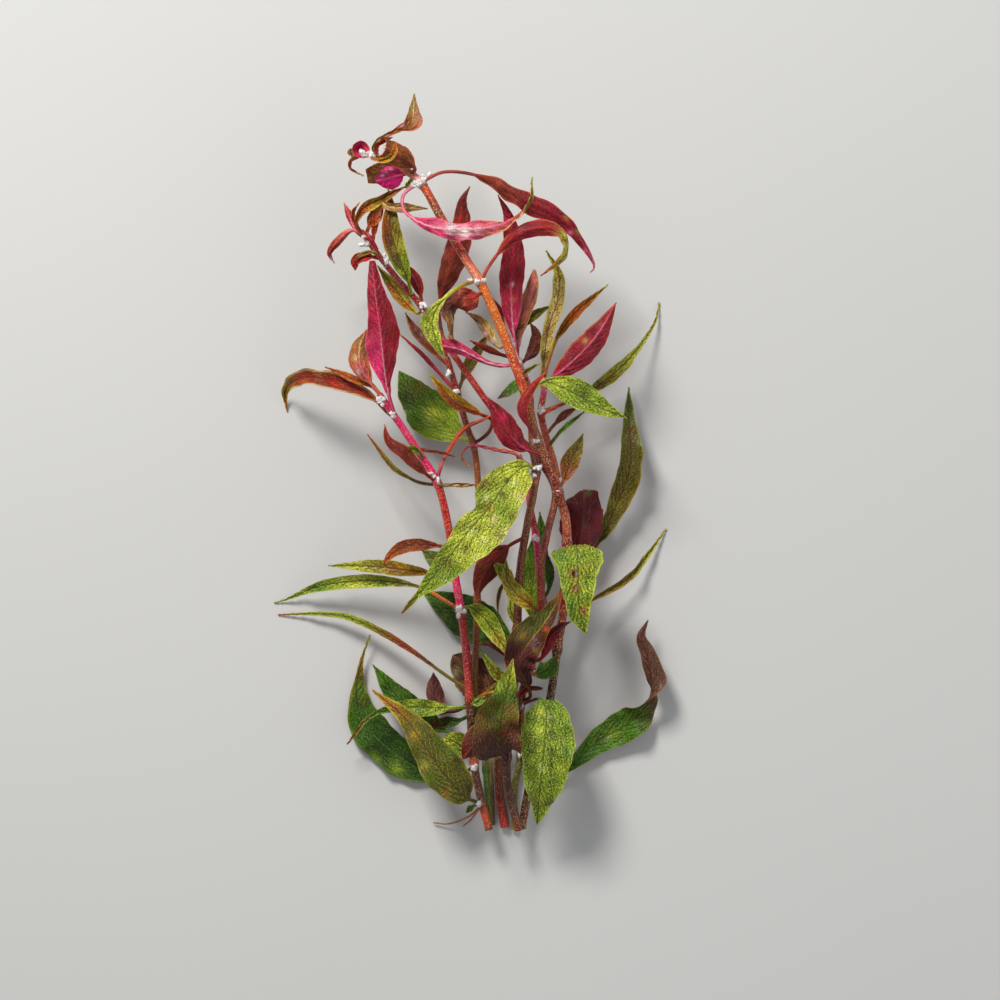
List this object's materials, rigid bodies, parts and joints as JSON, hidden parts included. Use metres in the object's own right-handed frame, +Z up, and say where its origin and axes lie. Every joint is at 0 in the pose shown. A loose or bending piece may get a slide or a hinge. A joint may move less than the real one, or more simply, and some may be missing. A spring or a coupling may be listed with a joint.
{
  "type": "aquarium stem plant",
  "caption": "Cut bunch of leafy aquarium plant stems, Alternanthera reineckii, lying flat, with narrow curled green, olive and crimson leaves.",
  "frame": {"origin": "middle of the bunch's box in X and Y, on the surface it lies on", "axes": "+Y from the cut ends to the growing tips, +X to the right seen from above, +Z up from the surface"},
  "size_m": [0.1351, 0.2505, 0.0554],
  "materials": {
    "stem_orange": "smooth orange stem with pale dots and white woolly nodes",
    "stem_crimson": "smooth crimson stem, browner at the foot, white woolly nodes",
    "stem_brown": "smooth red-brown stem",
    "stem_pink": "smooth magenta stem, white woolly nodes",
    "leaf_lime": "yellow-green upper face with fine dark speckles, satin",
    "leaf_green": "green upper face with yellow veins, satin",
    "leaf_olive": "olive upper face with an orange-brown midrib, satin",
    "leaf_crimson": "crimson to magenta underside with a pale midrib and cream margin, satin",
    "leaf_bronze": "orange-brown leaf with a darker midrib, satin",
    "leaf_maroon": "maroon to brown, mottled where it wilts, satin"
  },
  "bodies": {
    "root": {"stem_a": "stem_orange", "stem_b": "stem_crimson", "stem_c": "stem_brown", "stem_d": "stem_crimson", "side_shoot": "stem_pink", "stem_f": "stem_pink", "stem_g": "stem_pink", "stem_stub": "stem_brown", "leaf_a1_right": "leaf_crimson", "leaf_a1_left": "leaf_crimson", "leaf_a2_right": "leaf_crimson", "leaf_a2_left": "leaf_lime", "leaf_a2_curled": "leaf_maroon", "leaf_a3_right": "leaf_lime", "leaf_a4_red": "leaf_crimson", "leaf_a4_left": "leaf_crimson", "leaf_a5_tall": "leaf_olive", "leaf_a5_small": "leaf_olive", "leaf_a5_purple": "leaf_maroon", "leaf_a6_holed": "leaf_lime", "leaf_a6_right": "leaf_olive", "leaf_a7_right": "leaf_green", "leaf_b1_upright": "leaf_olive", "leaf_b1_left": "leaf_olive", "leaf_b2_wilted": "leaf_maroon", "leaf_b2_yellow": "leaf_olive", "leaf_c1_upright": "leaf_crimson", "leaf_c1_salmon": "leaf_bronze", "leaf_c1_left": "leaf_crimson", "leaf_c2_large": "leaf_lime", "leaf_c3_brown": "leaf_maroon", "leaf_c4_front": "leaf_olive", "leaf_c4_brown": "leaf_maroon", "leaf_d1_back": "leaf_maroon", "leaf_d1_left": "leaf_bronze", "leaf_d2_broad": "leaf_green", "leaf_d2_orange": "leaf_bronze", "leaf_d3_round": "leaf_maroon", "leaf_e1_upright": "leaf_olive", "leaf_e1_orange": "leaf_bronze", "leaf_e1_crimson": "leaf_crimson", "leaf_e2_brown": "leaf_maroon", "leaf_e2_right": "leaf_olive", "leaf_f1_back": "leaf_green", "leaf_f1_floor": "leaf_green", "leaf_f2_front": "leaf_lime", "leaf_g1_front": "leaf_crimson", "leaf_g1_salmon": "leaf_bronze", "leaf_g1_left": "leaf_bronze", "leaf_g2_red": "leaf_maroon", "leaf_g2_narrow": "leaf_olive", "leaf_g3_bronze": "leaf_bronze", "leaf_g3_yellow": "leaf_olive", "leaf_g4_long": "leaf_lime", "leaf_g4_right": "leaf_olive", "leaf_g5_ribbon": "leaf_olive", "leaf_g5_yellow": "leaf_lime", "leaf_g5_green": "leaf_green", "leaf_g6_floor": "leaf_green", "leaf_g6_front": "leaf_olive"}
  },
  "joints": []
}
